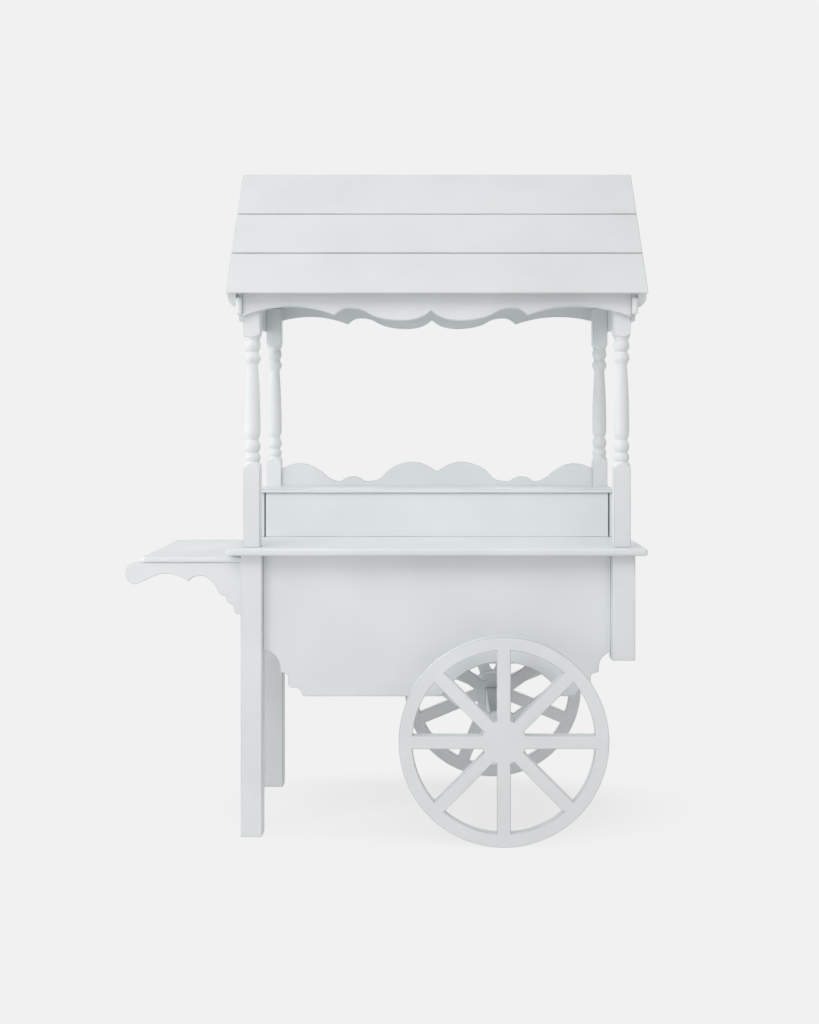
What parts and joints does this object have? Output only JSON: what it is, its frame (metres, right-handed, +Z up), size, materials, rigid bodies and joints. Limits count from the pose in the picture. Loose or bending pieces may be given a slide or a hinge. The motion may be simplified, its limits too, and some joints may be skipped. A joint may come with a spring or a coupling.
{
  "type": "candy cart",
  "caption": "White painted wooden sweet cart: a counter on legs and spoked wheels, a stepped display shelf, turned posts under a gabled board roof, and a side shelf on scroll handles.",
  "frame": {"origin": "on the floor, under the middle of the cart's overall length and depth", "axes": "+X along the length from the handles to the wheels, +Y from the serving side to the back, +Z up"},
  "size_m": [1.576, 0.828, 2.054],
  "materials": {
    "white_paint": "satin white paint on wood",
    "beech": "planed and bare",
    "zinc_steel": "zinc plated",
    "axle_steel": "bright drawn",
    "bronze": "sintered"
  },
  "bodies": {
    "cart": {"axle": "axle_steel", "axle_beam": "white_paint", "axle_lock_pin": "zinc_steel", "bracket_dowels": "beech", "end_panel_battens": "white_paint", "front_axle_hanger": "white_paint", "front_left_leg": "white_paint", "front_left_post": "white_paint", "front_lower_roof_board": "white_paint", "front_middle_roof_board": "white_paint", "front_right_post": "white_paint", "front_right_stub": "white_paint", "front_shelf_bracket": "white_paint", "front_side_panel": "white_paint", "front_upper_roof_board": "white_paint", "front_valance": "white_paint", "hanger_screws": "zinc_steel", "left_end_panel": "white_paint", "left_gable_board": "white_paint", "left_side_rail": "white_paint", "post_dowels": "beech", "rear_axle_hanger": "white_paint", "rear_left_leg": "white_paint", "rear_left_post": "white_paint", "rear_lower_roof_board": "white_paint", "rear_middle_roof_board": "white_paint", "rear_right_post": "white_paint", "rear_right_stub": "white_paint", "rear_shelf_bracket": "white_paint", "rear_side_panel": "white_paint", "rear_upper_roof_board": "white_paint", "rear_valance": "white_paint", "ridge_beam": "white_paint", "right_end_panel": "white_paint", "right_gable_board": "white_paint", "right_side_rail": "white_paint", "roof_battens": "white_paint", "scalloped_backboard": "white_paint", "shelf_dowels": "beech", "side_panel_battens": "white_paint", "side_shelf": "white_paint", "step_left_end": "white_paint", "step_right_end": "white_paint", "step_riser": "white_paint", "step_shelf": "white_paint", "table_cleats": "white_paint", "table_screws": "zinc_steel", "tabletop": "white_paint", "thrust_washers": "zinc_steel"},
    "front_wheel_set": {"front_boss_screws": "zinc_steel", "front_hub_boss": "white_paint", "front_hub_bush": "bronze", "front_hub_screw": "zinc_steel", "front_wheel": "white_paint"},
    "rear_wheel_set": {"rear_boss_screws": "zinc_steel", "rear_hub_boss": "white_paint", "rear_hub_bush": "bronze", "rear_hub_screw": "zinc_steel", "rear_wheel": "white_paint"}
  },
  "joints": [
    {"name": "front_wheel_spin", "type": "hinge", "parent": "cart", "child": "front_wheel_set", "pos_m": [0.354, 0, 0.31], "axis": [0, 1, 0], "continuous": true},
    {"name": "rear_wheel_spin", "type": "hinge", "parent": "cart", "child": "rear_wheel_set", "pos_m": [0.354, 0, 0.31], "axis": [0, 1, 0], "continuous": true}
  ]
}
